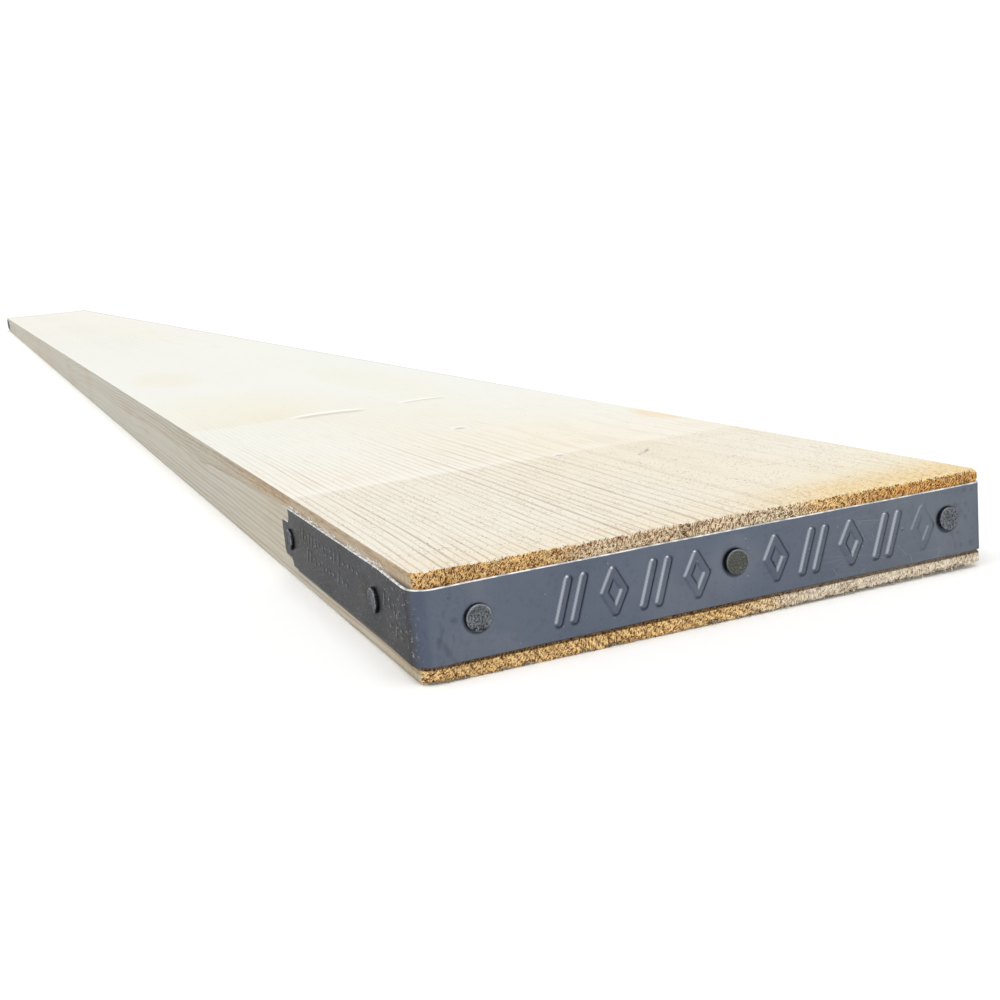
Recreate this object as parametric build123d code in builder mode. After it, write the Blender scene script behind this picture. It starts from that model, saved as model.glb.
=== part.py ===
from build123d import *
import os

os.makedirs("parts", exist_ok=True)

# ---------------------------------------------------------------------------------------
# Timber scaffold board with a nailed steel band round each end. Millimetres.
# X runs along the board, Y across it, +Z up. The origin is the middle of the underside.
# "Near" is the end at -X, and "left" is the edge at +Y of the near end. The far end is the
# near end turned half a turn about Z, so its "left" is the edge at -Y.
# ---------------------------------------------------------------------------------------

# Board: a standard sawn softwood section
board_length = 3900
board_width = 225
board_thickness = 38
arris_radius = 0.8
end_corner_radius = 6

# End band: a pressed steel strip bent to a U round the end of the board
band_thickness = 0.9
band_height = 26
band_bottom = 6.5
leg_length = 172
tongue_length = 14
tongue_height = 16
tongue_bottom = 10
tongue_corner_radius = 2
shoulder_slope = 2.5

# Raised pattern pressed in the band's face: lozenge rings and pairs of slanting ribs by turns
mark_pitch = 16
mark_height = 17
lozenge_width = 12
lozenge_stroke = 2.2
rib_width = 2.6
rib_spacing = 5.5
rib_slant = 18
mark_relief = 0.5
marks_on_left = 4
marks_on_right = 5

# Clout nails that hold the band: three in the face and two in each leg
head_diameter = 9.5
head_thickness = 1.3
head_edge_radius = 0.3
shank_diameter = 3
shank_length = 30
point_length = 5
point_diameter = 0.6
face_nail_y = {"left": 92, "middle": -5, "right": -97}
face_nail_z = {"left": 20, "middle": 21, "right": 21}
leg_nail_x = {"corner": 45.5, "tongue": 172.5}
leg_nail_z = {"corner": 19.5, "tongue": 18.5}

half_length = board_length / 2
half_width = board_width / 2
band_middle_z = band_bottom + band_height / 2
leg_end = leg_length - half_length
tongue_end = leg_end + tongue_length
tongue_top = tongue_bottom + tongue_height


# ---------------------------------------------------------------------------------------
# Nail seats: planes on the bands' outer faces, under the heads and facing off the board
# ---------------------------------------------------------------------------------------


def near_seats():
    seats = {}
    for place, y in face_nail_y.items():
        origin = (-half_length - band_thickness, y, face_nail_z[place])
        seats[f"face_{place}"] = Plane(origin=origin, z_dir=(-1, 0, 0))
    for side, outward in (("left", 1), ("right", -1)):
        for place, x in leg_nail_x.items():
            origin = (x - half_length, outward * (half_width + band_thickness), leg_nail_z[place])
            seats[f"{side}_{place}"] = Plane(origin=origin, z_dir=(0, outward, 0))
    return seats


def half_turned(plane):
    origin = (-plane.origin.X, -plane.origin.Y, plane.origin.Z)
    return Plane(origin=origin, z_dir=(-plane.z_dir.X, -plane.z_dir.Y, 0))


seats = {}
for place, seat in near_seats().items():
    seats[f"nail_near_{place}"] = seat
    seats[f"nail_far_{place}"] = half_turned(seat)


def shank(seat, mode):
    """The round shank and point of the nail at this seat, added to the part or cut from it."""
    with BuildSketch(seat) as root:
        Circle(shank_diameter / 2)
    with BuildSketch(seat.offset(point_length - shank_length)) as shoulder:
        Circle(shank_diameter / 2)
    with BuildSketch(seat.offset(-shank_length)) as tip:
        Circle(point_diameter / 2)
    extrude(root.sketch, amount=point_length - shank_length, mode=mode)
    loft([shoulder.sketch.face(), tip.sketch.face()], mode=mode)


# ---------------------------------------------------------------------------------------
# Board: eased long edges, end corners rounded to the band's bend, and a hole for each nail
# ---------------------------------------------------------------------------------------

with BuildPart() as board:
    with BuildSketch():
        RectangleRounded(board_length, board_width, end_corner_radius)
    extrude(amount=board_thickness)
    long_edges = board.edges().filter_by(Axis.X)
    fillet(long_edges, arris_radius)
    for seat in seats.values():
        shank(seat, Mode.SUBTRACT)
board.part.label = "board"
export_step(board.part, "parts/board.step")


# ---------------------------------------------------------------------------------------
# End band: a bent strip, its legs narrowed to tongues, with raised marks and nail holes
# ---------------------------------------------------------------------------------------


def lozenge():
    """A lozenge ring at the current locations."""
    corners = [(lozenge_width / 2, 0), (0, mark_height / 2), (-lozenge_width / 2, 0), (0, -mark_height / 2)]
    hole_scale = 1 - 2 * lozenge_stroke / lozenge_width
    hole = [(hole_scale * x, hole_scale * y) for x, y in corners]
    Polygon(*corners)
    Polygon(*hole, mode=Mode.SUBTRACT)


def rib_pair():
    """Two slanting round-ended ribs at the current locations."""
    with GridLocations(rib_spacing, 0, 2, 1):
        SlotOverall(mark_height, rib_width, rotation=90 - rib_slant)


with BuildPart() as end_band_near:
    with BuildSketch(Plane.XY.offset(band_bottom)):
        with BuildLine():
            FilletPolyline(
                (tongue_end, half_width),
                (-half_length, half_width),
                (-half_length, -half_width),
                (tongue_end, -half_width),
                radius=end_corner_radius,
            )
            offset(amount=band_thickness, side=Side.RIGHT)
        make_face()
    extrude(amount=band_height)
    with BuildSketch(Plane.XZ) as leg_outline:
        with BuildLine():
            Polyline(
                (-board_length, band_bottom),
                (leg_end, band_bottom),
                (leg_end, tongue_bottom - shoulder_slope),
                (leg_end + shoulder_slope, tongue_bottom),
                (tongue_end, tongue_bottom),
                (tongue_end, tongue_top),
                (leg_end + shoulder_slope, tongue_top),
                (leg_end, tongue_top + shoulder_slope),
                (leg_end, band_bottom + band_height),
                (-board_length, band_bottom + band_height),
                close=True,
            )
        make_face()
        tongue_corners = leg_outline.vertices().group_by(Axis.X)[-1]
        fillet(tongue_corners, tongue_corner_radius)
    extrude(amount=board_width, both=True, mode=Mode.INTERSECT)
    face_middle = (-half_length - band_thickness, face_nail_y["middle"], band_middle_z)
    with BuildSketch(Plane(origin=face_middle, x_dir=(0, -1, 0), z_dir=(-1, 0, 0))):
        for step in range(-marks_on_left, marks_on_right + 1):
            with Locations((step * mark_pitch, 0)):
                if step % 2:
                    lozenge()
                elif step:
                    rib_pair()
    extrude(amount=mark_relief)
    for place in near_seats():
        shank(seats[f"nail_near_{place}"], Mode.SUBTRACT)
end_band_near.part.label = "end_band_near"
export_step(end_band_near.part, "parts/end_band_near.step")

with BuildPart() as end_band_far:
    add(end_band_near.part.rotate(Axis.Z, 180))
end_band_far.part.label = "end_band_far"
export_step(end_band_far.part, "parts/end_band_far.step")


# ---------------------------------------------------------------------------------------
# Clout nails: a wide flat head on the band and a pointed shank in the board
# ---------------------------------------------------------------------------------------

for name, seat in seats.items():
    with BuildPart() as nail:
        with BuildSketch(seat):
            Circle(head_diameter / 2)
        extrude(amount=head_thickness)
        fillet(nail.faces().sort_by(Axis(seat.origin, seat.z_dir))[-1].edges(), head_edge_radius)
        shank(seat, Mode.ADD)
    nail.part.label = name
    export_step(nail.part, f"parts/{name}.step")
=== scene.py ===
import math

import bmesh
import bpy
import numpy as np
from mathutils import Matrix, Vector


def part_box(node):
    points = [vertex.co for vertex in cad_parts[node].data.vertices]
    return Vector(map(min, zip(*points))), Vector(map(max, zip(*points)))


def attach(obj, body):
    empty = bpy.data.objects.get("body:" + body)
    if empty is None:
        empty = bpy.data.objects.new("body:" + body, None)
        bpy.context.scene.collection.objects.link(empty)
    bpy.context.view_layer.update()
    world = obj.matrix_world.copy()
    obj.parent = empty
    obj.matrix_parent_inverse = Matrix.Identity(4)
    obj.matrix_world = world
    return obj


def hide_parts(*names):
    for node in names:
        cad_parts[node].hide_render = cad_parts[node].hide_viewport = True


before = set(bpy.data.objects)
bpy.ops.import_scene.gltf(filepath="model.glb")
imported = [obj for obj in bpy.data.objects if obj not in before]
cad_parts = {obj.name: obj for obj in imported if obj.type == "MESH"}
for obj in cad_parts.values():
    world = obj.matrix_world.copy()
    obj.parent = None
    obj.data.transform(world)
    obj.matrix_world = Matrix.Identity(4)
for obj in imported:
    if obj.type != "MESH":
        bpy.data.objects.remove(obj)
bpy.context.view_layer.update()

# A softwood scaffold board with a steel band nailed round each end. Metres, in the frame of
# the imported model: X along the board, Y across it, Z up, the underside on the floor.

MM = 0.001
HALF_LENGTH, HALF_WIDTH, THICKNESS = np.array(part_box("board")[1])
BAND_LOW, BAND_HIGH = (np.array(corner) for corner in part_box("end_band_near"))
BAND_THICKNESS = BAND_HIGH[1] - HALF_WIDTH
NEAR_END = -HALF_LENGTH


def node_middle(node):
    low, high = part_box(node)
    return (np.array(low) + np.array(high)) / 2


def added(name, data):
    """A new object in the scene."""
    thing = bpy.data.objects.new(name, data)
    bpy.context.scene.collection.objects.link(thing)
    return thing


# ---- Camera ----

EYE_FROM_NEAR_END = Vector((-0.3872, 0.2299, 0.1392))
LOOK_YAW = math.radians(-21.10)
LOOK_PITCH = math.radians(-11.22)
LOOK_ROLL = math.radians(-5.34)
LENS_MM = 47.41
SENSOR_MM = 36.0


def make_camera():
    data = bpy.data.cameras.new("camera")
    data.lens = LENS_MM
    data.sensor_width = SENSOR_MM
    data.clip_start = 0.01
    camera = added("camera", data)
    look = Vector((
        math.cos(LOOK_PITCH) * math.cos(LOOK_YAW),
        math.cos(LOOK_PITCH) * math.sin(LOOK_YAW),
        math.sin(LOOK_PITCH),
    ))
    camera.location = Vector((NEAR_END, 0, 0)) + EYE_FROM_NEAR_END
    camera.rotation_mode = "QUATERNION"
    upright = look.to_track_quat("-Z", "Y")
    camera.rotation_quaternion = upright @ Matrix.Rotation(LOOK_ROLL, 3, "Z").to_quaternion()
    bpy.context.scene.camera = camera


# ---- Floor and light ----

FLOOR_RADIUS = 60.0
HORIZON_GLOW = 1.03
OVERHEAD_GLOW = 0.30
KEY_POWER = 2.35
KEY_SPREAD = math.radians(50)


def add_overhead_key():
    """One broad overhead lamp, leaning a little towards the near end."""
    data = bpy.data.lights.new("key", "SUN")
    data.energy = KEY_POWER
    data.angle = KEY_SPREAD
    light = added("key", data)
    light.rotation_mode = "QUATERNION"
    light.rotation_quaternion = Vector((0.22, -0.10, -1.0)).to_track_quat("-Z", "Y")


def make_stage():
    mesh = bpy.data.meshes.new("floor")
    shape = bmesh.new()
    bmesh.ops.create_circle(shape, cap_ends=True, segments=96, radius=FLOOR_RADIUS)
    shape.to_mesh(mesh)
    shape.free()
    floor = added("floor", mesh)
    material = bpy.data.materials.new("floor_white")
    material.use_nodes = True
    shader = material.node_tree.nodes["Principled BSDF"]
    shader.inputs["Base Color"].default_value = (0.93, 0.93, 0.92, 1)
    shader.inputs["Roughness"].default_value = 0.9
    shader.inputs["Specular IOR Level"].default_value = 0.1
    mesh.materials.append(material)

    add_overhead_key()
    make_sky()
    bpy.context.scene.view_settings.view_transform = "Standard"


def make_sky():
    """A studio wall that glows white round the floor and is dimmer overhead."""
    world = bpy.data.worlds.new("studio")
    bpy.context.scene.world = world
    world.use_nodes = True
    tree = world.node_tree
    direction = tree.nodes.new("ShaderNodeSeparateXYZ")
    tree.links.new(tree.nodes.new("ShaderNodeTexCoord").outputs["Generated"], direction.inputs[0])
    fade = tree.nodes.new("ShaderNodeMapRange")
    fade.inputs["From Min"].default_value = 0.41
    fade.inputs["From Max"].default_value = 0.55
    fade.inputs["To Min"].default_value = HORIZON_GLOW
    fade.inputs["To Max"].default_value = OVERHEAD_GLOW
    tree.links.new(direction.outputs["Z"], fade.inputs["Value"])
    tree.nodes["Background"].inputs["Color"].default_value = (1.0, 1.0, 1.0, 1)
    tree.links.new(fade.outputs[0], tree.nodes["Background"].inputs["Strength"])


# ---- Number tools ----

HASH_PRIMES = np.array([73856093, 19349663, 83492791])
HASH_SIZE = 4096


def smoothstep(low, high, value):
    t = np.clip((value - low) / (high - low), 0, 1)
    return t * t * (3 - 2 * t)


def lattice_noise(points, cell, seed):
    """Smooth value noise from -1 to 1, with its lattice's spacing in metres."""
    table = np.random.default_rng(seed).uniform(-1, 1, HASH_SIZE)
    scaled = points / np.asarray(cell, float)
    base = np.floor(scaled).astype(np.int64)
    part = scaled - base
    part = part * part * (3 - 2 * part)
    total = np.zeros(len(points))
    for corner in np.ndindex(2, 2, 2):
        shifted = base + corner
        mixed = shifted * HASH_PRIMES
        index = (mixed[:, 0] ^ mixed[:, 1] ^ mixed[:, 2]) & (HASH_SIZE - 1)
        weight = np.prod(np.where(corner, part, 1 - part), axis=1)
        total += weight * table[index]
    return total


def line_noise(places, cell, seed):
    """The same along one line."""
    return lattice_noise(np.stack([places, places * 0, places * 0], 1), cell, seed)


def spaced(low, high, step):
    """Evenly spaced values from low to high, about a step apart."""
    return np.linspace(low, high, max(2, int(round((high - low) / step)) + 1))


def joined(*runs):
    """Runs of values put together in order, each value once."""
    return np.unique(np.round(np.concatenate(runs), 8))


def to_object(name, vertices, faces, materials, slots=None, **tones):
    """A smooth-shaded mesh object with its normals facing out. slots is a material per face, and
    each of the tones is a value per point that a material can read."""
    mesh = bpy.data.meshes.new(name)
    mesh.from_pydata(np.asarray(vertices).tolist(), [], faces)
    for tone, values in tones.items():
        layer = mesh.attributes.new(tone, "FLOAT", "POINT")
        layer.data.foreach_set("value", np.asarray(values, np.float32))
    if slots is not None:
        mesh.polygons.foreach_set("material_index", np.asarray(slots, np.int32))
    for material in materials:
        mesh.materials.append(material)
    shape = bmesh.new()
    shape.from_mesh(mesh)
    bmesh.ops.recalc_face_normals(shape, faces=shape.faces)
    shape.to_mesh(mesh)
    shape.free()
    mesh.polygons.foreach_set("use_smooth", np.ones(len(mesh.polygons), bool))
    return added(name, mesh)


# ---- Shader tools ----


class Wire:
    """A shader socket that arithmetic can be written on."""

    def __init__(self, tree, socket):
        self.tree = tree
        self.socket = socket

    def _math(self, operation, *others):
        node = self.tree.nodes.new("ShaderNodeMath")
        node.operation = operation
        for slot, value in zip(node.inputs, (self, *others)):
            plug(slot, value)
        return Wire(self.tree, node.outputs[0])

    def __add__(self, other):
        return self._math("ADD", other)

    def __sub__(self, other):
        return self._math("SUBTRACT", other)

    def __mul__(self, other):
        return self._math("MULTIPLY", other)

    def __truediv__(self, other):
        return self._math("DIVIDE", other)

    def __rsub__(self, other):
        return (self * -1) + other

    __radd__ = __add__

    def abs(self):
        return self._math("ABSOLUTE")

    def power(self, exponent):
        return self._math("POWER", exponent)

    def fraction(self):
        return self._math("FRACT")

    def floor(self):
        return self._math("FLOOR")

    def root(self):
        return self._math("SQRT")

    def most(self, other):
        return self._math("MAXIMUM", other)

    def rise(self, low, high):
        """0 below low and 1 above high, or the other way round if low is the larger."""
        node = self.tree.nodes.new("ShaderNodeMapRange")
        node.interpolation_type = "SMOOTHSTEP"
        falling = low > high
        plug(node.inputs["Value"], self)
        node.inputs["From Min"].default_value = min(low, high)
        node.inputs["From Max"].default_value = max(low, high)
        node.inputs["To Min"].default_value = 1 if falling else 0
        node.inputs["To Max"].default_value = 0 if falling else 1
        return Wire(self.tree, node.outputs[0])


def plug(slot, value):
    if isinstance(value, Wire):
        slot.node.id_data.links.new(value.socket, slot)
    elif slot.type == "RGBA":
        slot.default_value = (*value, 1)
    else:
        slot.default_value = value


class Surface:
    """A new material with one Principled shader, whose colour is laid on in layers. A share says
    how strongly each layer shows at each point, from 0 to 1."""

    def __init__(self, name, roughness, metallic=0.0, specular=0.5):
        self.material = bpy.data.materials.new(name)
        self.material.use_nodes = True
        self.tree = self.material.node_tree
        self.shader = self.tree.nodes["Principled BSDF"]
        self.shader.inputs["Metallic"].default_value = metallic
        self.shader.inputs["Specular IOR Level"].default_value = specular
        plug(self.shader.inputs["Roughness"], roughness)
        self.place = Wire(self.tree, self.add("ShaderNodeTexCoord").outputs["Object"])
        self.x, self.y, self.z = self.split(self.place)
        normal = Wire(self.tree, self.add("ShaderNodeNewGeometry").outputs["Normal"])
        self.nx, _, self.nz = self.split(normal)
        self.colour = None

    def add(self, kind):
        return self.tree.nodes.new(kind)

    def split(self, vector):
        node = self.add("ShaderNodeSeparateXYZ")
        plug(node.inputs[0], vector)
        return [Wire(self.tree, output) for output in node.outputs]

    def vector(self, x, y, z):
        node = self.add("ShaderNodeCombineXYZ")
        for slot, value in zip(node.inputs, (x, y, z)):
            plug(slot, value)
        return Wire(self.tree, node.outputs[0])

    def stretched(self, factors):
        """The place scaled along X, Y and Z: a small factor draws a pattern out that way."""
        node = self.add("ShaderNodeVectorMath")
        node.operation = "MULTIPLY"
        plug(node.inputs[0], self.place)
        plug(node.inputs[1], factors)
        return Wire(self.tree, node.outputs[0])

    def noise(self, scale, detail=2.0, roughness=0.5, stretch=None, offset=0.0, vector=None):
        """Noise about 0.5, over the place or over a vector. The offset picks another pattern."""
        node = self.add("ShaderNodeTexNoise")
        node.noise_dimensions = "4D"
        plug(node.inputs["Vector"], vector or (self.stretched(stretch) if stretch else self.place))
        node.inputs["W"].default_value = offset
        node.inputs["Scale"].default_value = scale
        node.inputs["Detail"].default_value = detail
        node.inputs["Roughness"].default_value = roughness
        return Wire(self.tree, node.outputs["Fac"])

    def spots(self, scale, stretch, feature="F1"):
        """Distance from the middles, or from the borders, of scattered cells."""
        node = self.add("ShaderNodeTexVoronoi")
        node.feature = feature
        plug(node.inputs["Vector"], self.stretched(stretch))
        node.inputs["Scale"].default_value = scale
        return Wire(self.tree, node.outputs["Distance"])

    def mix(self, share, first, second, kind="MIX"):
        node = self.add("ShaderNodeMix")
        node.data_type = "RGBA"
        node.blend_type = kind
        node.clamp_factor = True
        plug(node.inputs[0], share)
        plug(node.inputs[6], first)
        plug(node.inputs[7], second)
        return Wire(self.tree, node.outputs[2])

    def cover(self, share, tone):
        """A layer that hides what is under it."""
        self.colour = self.mix(share, self.colour, tone)

    def stain(self, share, tone):
        """A layer that multiplies what is under it."""
        self.colour = self.mix(share, self.colour, tone, "MULTIPLY")

    def attribute(self, name):
        node = self.add("ShaderNodeAttribute")
        node.attribute_name = name
        return Wire(self.tree, node.outputs["Fac"])

    def finish(self, height, distance, strength):
        """The material with its colour plugged in and a bump of that height."""
        plug(self.shader.inputs["Base Color"], self.colour)
        bump = self.add("ShaderNodeBump")
        bump.inputs["Strength"].default_value = strength
        bump.inputs["Distance"].default_value = distance
        plug(bump.inputs["Height"], height)
        self.tree.links.new(bump.outputs[0], self.shader.inputs["Normal"])
        return self.material


# ---- Wood ----
# Growth rings are cylinders about a wandering pith above the board, so the faces, the edges
# and the ends all cut one and the same tree.

STRIP_TILT = 0.35 * MM
PITH_Y = -0.055
PITH_Z = 0.108
RING_PITCH = 2.9 * MM
EDGE_LINE_PITCH = 2.8 * MM
PALE_WOOD = (0.812, 0.775, 0.688)
LATE_WOOD = (0.455, 0.345, 0.255)
MIDDLE_WOOD = (0.785, 0.790, 0.738)
SCUFF_LENGTH = 0.1675
FAR_SCUFF_LENGTH = 0.148
RIDGE_PLACE = 0.443
SHADE_PAST_RIDGE = (0.985, 0.965, 0.915)

# Places from the near end and from the middle line, in metres: centre, half size, tone
RIGHT_EDGE_STAIN = ((0.244, -HALF_WIDTH), (0.030, 0.013), (1.0, 0.885, 0.74))
WARM_PATCHES = [
    ((0.560, 0.062), (0.12, 0.062), (1.0, 0.980, 0.925)),
    ((0.875, 0.066), (0.10, 0.030), (1.0, 0.965, 0.91)),
    ((0.62, -0.060), (0.20, 0.030), (1.0, 0.98, 0.935)),
    ((1.90, -0.040), (0.50, 0.040), (1.0, 0.985, 0.955)),
]
# Centre, half length
PIN_KNOTS = [((0.297, -0.014), 0.0052), ((0.166, -0.015), 0.0033), ((0.252, 0.046), 0.0016)]
UNDERSIDE_KNOTS = [
    ((0.62, 0.031), 0.011), ((1.38, -0.052), 0.016), ((2.21, 0.018), 0.009), ((3.05, 0.060), 0.014),
]
# Centre, half size, turn in degrees, how dark its painted shadow line is, how far its lip stands up
TEARS = [
    ((RIDGE_PLACE, 0.022), (0.026, 0.020), -94, 0.42, 3.0),
    ((0.450, -0.044), (0.017, 0.013), -88, 0.35, 2.0),
    ((0.1395, -0.0450), (0.0085, 0.0020), -48, 0.75, 1.0),
]


def ring_field(wood):
    """How far into its growth ring each point lies, from 0 in early wood to 1 in late wood."""
    along = wood.vector(wood.x, 0.0, 0.0)
    wander_y = (wood.noise(1.1, 1.0, offset=3.0, vector=along) - 0.5) * 0.040
    wander_z = (wood.noise(1.4, 1.0, offset=8.0, vector=along) - 0.5) * 0.034
    waver = (wood.noise(3.0, stretch=(1, 4, 4), offset=5.0) - 0.5) * 0.010
    across = wood.y - PITH_Y - wander_y
    up = wood.z - PITH_Z - wander_z
    radius = (across * across + up * up).root() + waver
    slow = wood.noise(1.0, 1.0, offset=2.0, vector=wood.vector(radius * 90.0, 0.0, 0.0))
    count = (radius + slow * 0.006) / RING_PITCH
    part = count.fraction()
    ring_weight = wood.noise(1.0, 0.0, offset=1.0, vector=wood.vector(count.floor() * 7.31, 0.0, 0.0))
    late = part.rise(0.56, 0.93) * part.rise(1.0, 0.94)
    return late, ring_weight


class LongGrain(Surface):
    """The planed faces and the sawn edges of the board."""

    def __init__(self):
        super().__init__("long_grain", roughness=0.72, specular=0.25)
        self.from_near = self.x - NEAR_END
        self.on_top = self.nz.rise(0.3, 0.7)
        self.on_edge = self.nz.abs().rise(0.75, 0.35)
        self.late, self.ring_weight = ring_field(self)
        self.line_patch = self.noise(5.0, stretch=(0.35, 1, 1), offset=6.0)
        self.streak = self.noise(900.0, 2.0, 0.6, (0.03, 1, 1), 4.0)
        self.dust = self.noise(1100.0, 2.0, 0.7, offset=22.0).rise(0.55, 0.72)
        self.scuffed_edge = self.from_near - SCUFF_LENGTH + self.y * 0.02
        self.scuffed_edge += (self.noise(30.0, offset=19.0) - 0.5) * 0.006
        far_scuff = (HALF_LENGTH - self.x).rise(FAR_SCUFF_LENGTH, FAR_SCUFF_LENGTH - 0.008)
        self.scuffed = self.scuffed_edge.rise(0.003, -0.004).most(far_scuff) * self.on_top
        self.relief = self.streak * 0.35 + self.late * 0.25 + self.noise(1500.0, 1.0, offset=3.0) * 0.4
        self.relief += self.scuffed * self.dust * 1.2

    def oval(self, centre, half_size, turn=0.0):
        """Squared distance from a place on the board, in half sizes along and across a turned
        oval, and the distances themselves."""
        along = self.from_near - centre[0]
        across = self.y - centre[1]
        u = (along * math.cos(turn) + across * math.sin(turn)) / half_size[0]
        v = (across * math.cos(turn) - along * math.sin(turn)) / half_size[1]
        return u.power(2) + v.power(2), u, v

    def paint_rings(self):
        """Clear ring lines where the saw cut across the rings, faint ones where it ran along."""
        near = self.from_near
        # Paler, greyer wood along the middle of the board: painted glare, where the light washes the top out
        painted_glare = near.rise(0.10, 0.42) * (0.95 - near.rise(1.2, 2.2) * 0.35)
        self.colour = self.mix(painted_glare, PALE_WOOD, MIDDLE_WOOD)
        broken = self.noise(160.0, 2.0, 0.6, (0.12, 1, 1), 13.0).rise(0.30, 0.60) * 0.5 + 0.5
        strength = (self.ring_weight.power(1.6) * 2.0 + 0.06) * (self.line_patch * 1.1 + 0.1) * broken
        strength *= 1.2 - self.y.rise(0.02, 0.07) * 0.50
        fading = 1.15 - near.rise(0.12, 0.34) * 1.02 + near.rise(1.0, 1.8) * 0.40
        fading += self.y.rise(0.078, 0.108) * near.rise(0.60, 0.20) * 0.55
        on_faces = (self.y.rise(-0.04, 0.03) * 0.80 + 0.20) * fading * (1 - self.on_edge)
        on_edges = self.on_edge * (1 - near.rise(0.45, 1.1) * 0.6) * 0.72
        self.cover(self.late * strength * (on_edges + on_faces), LATE_WOOD)

    def paint_fibres(self):
        """Fibre streaks, resin canals and slow blotches."""
        near_half = 1 - self.from_near.rise(0.12, 0.60) * 0.75
        self.stain(self.streak.rise(0.52, 0.74) * 0.75 * near_half, (0.86, 0.80, 0.72))
        canal = self.spots(480.0, (0.34, 1, 1)).rise(0.20, 0.07)
        canal *= self.noise(75.0, offset=9.0).rise(0.44, 0.60)
        self.stain(canal * 0.75 * near_half, (0.60, 0.47, 0.36))
        blotch = self.noise(2.2, 3.0, 0.55, (0.5, 1.6, 1.6), 7.0)
        self.stain(blotch.rise(0.50, 0.72) * 0.7, (1.0, 0.94, 0.84))
        self.stain(blotch.rise(0.50, 0.25) * 0.5, (0.97, 0.98, 0.97))

    def paint_edges(self):
        """Sawn edges, greyer and partly darkened as painted shade, with a brown strip under the top arris
        that widens and fades, and a painted shadow under the band.
        """
        near = self.from_near
        on_edge = self.on_edge
        on_left = on_edge * self.y.rise(-0.01, 0.01)
        # The upright edges darker than the top: their greyer sawn wood, and partly painted shade
        self.stain(on_edge, (0.665, 0.645, 0.600))
        cloud = self.noise(24.0, 3.0, 0.6, (0.3, 1, 1.6), 15.0)
        self.stain(on_edge * cloud.rise(0.50, 0.72) * 0.8, (0.94, 0.86, 0.78))
        wave = self.noise(2.6, offset=27.0, vector=self.vector(self.x, 0.0, self.z * 4.0))
        count = self.z / EDGE_LINE_PITCH + wave * 7.0
        line = count.fraction().rise(0.50, 0.86) * count.fraction().rise(1.0, 0.93) * on_edge
        each_line = self.vector(count.floor() * 5.17, 0.0, self.x * 1.5)
        weight = self.noise(1.0, 0.0, offset=28.0, vector=each_line)
        self.stain(line * weight.rise(0.30, 0.65) * 0.8, (0.80, 0.68, 0.585))
        strip_low = 33.0 * MM - near.rise(0.16, 0.42) * 7 * MM - (cloud - 0.5) * 0.010
        strip = ((self.z - strip_low) / (1.6 * MM)).rise(0.0, 1.0) * near.rise(0.85, 0.20) * on_left
        strip *= 1 - near.rise(0.15, 0.40) * 0.4
        self.stain(strip * near.rise(0.42, 0.22), (0.90, 0.790, 0.680))
        self.stain(strip * near.rise(0.22, 0.42), (0.86, 0.84, 0.79))
        red_line = ((self.z - strip_low) / (0.9 * MM)).abs().rise(1.0, 0.2) * near.rise(1.1, 0.3)
        self.stain(red_line * on_left * 0.7, (0.82, 0.66, 0.56))
        fibre = self.noise(700.0, 2.0, 0.6, (0.15, 1, 1), 16.0)
        self.stain(strip * fibre.rise(0.46, 0.62), (0.82, 0.75, 0.68))
        # A dark line just under the band's lower edge: painted shadow
        shadow_under_band = ((self.z - BAND_LOW[2]) / MM + 0.90).abs().rise(1.10, 0.55)
        self.stain(shadow_under_band * near.rise(0.170, 0.168) * on_edge * 0.85, (0.20, 0.19, 0.18))

    def paint_scuffed_ends(self):
        """A rougher, darker stretch at the end, with a slanting edge where the planer stopped."""
        speck = self.noise(1300.0, 1.0, 0.6, (0.55, 1, 1), 24.0).rise(0.60, 0.72)
        speck *= self.noise(55.0, offset=12.0).rise(0.34, 0.56)
        self.stain(self.scuffed * speck, (0.52, 0.43, 0.34))
        self.stain(self.scuffed * self.dust * 0.6, (0.78, 0.72, 0.64))
        self.stain(self.scuffed, (0.982, 0.975, 0.955))
        lip = self.scuffed_edge.rise(-0.001, 0.003) * self.scuffed_edge.rise(0.022, 0.004)
        self.cover(lip * self.on_top * self.line_patch.rise(0.35, 0.65) * 0.35, (0.86, 0.84, 0.79))
        past_ridge = self.from_near - RIDGE_PLACE
        shade = past_ridge.rise(0.0, 0.004) * past_ridge.rise(0.09, 0.0) * self.y.rise(0.02, 0.05)
        self.stain(shade * self.on_top, SHADE_PAST_RIDGE)

    def paint_resin(self):
        """The resin-yellow corner and end, the dark arris, and warmer patches farther along."""
        near = self.from_near
        on_top = self.on_top
        self.stain(self.y.rise(0.00, -0.11) * near.rise(0.11, 0.0) * on_top, (1.0, 0.975, 0.885))
        self.stain(self.y.rise(-0.01, -0.06) * near.rise(0.040, 0.0) * on_top, (1.0, 0.900, 0.72))
        fleck = self.noise(800.0, 2.0, 0.7, (0.6, 1, 1), 29.0).rise(0.48, 0.62)
        self.stain(fleck * self.y.rise(0.02, -0.05) * near.rise(0.050, 0.0) * on_top, (0.88, 0.77, 0.56))
        edge_fleck = self.noise(600.0, 2.0, 0.7, offset=30.0).rise(0.42, 0.62) * self.on_edge
        self.stain(edge_fleck * near.rise(0.060, 0.0), (0.86, 0.76, 0.58))
        self.stain(near.rise(0.045, 0.0) * on_top * 0.8, (1.0, 0.955, 0.87))
        arris = (self.y + HALF_WIDTH) / (1.2 * MM + near * 0.0011)
        self.stain(arris.rise(1.2, 0.6) * near.rise(0.25, 0.50) * on_top * 0.9, (0.60, 0.62, 0.60))
        centre, half_size, tone = RIGHT_EDGE_STAIN
        self.stain(self.oval(centre, half_size)[0].rise(1.3, 0.1) * on_top * 0.9, tone)
        for centre, half_size, tone in WARM_PATCHES:
            self.stain(self.oval(centre, half_size)[0].rise(1.4, 0.1) * on_top, tone)

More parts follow.
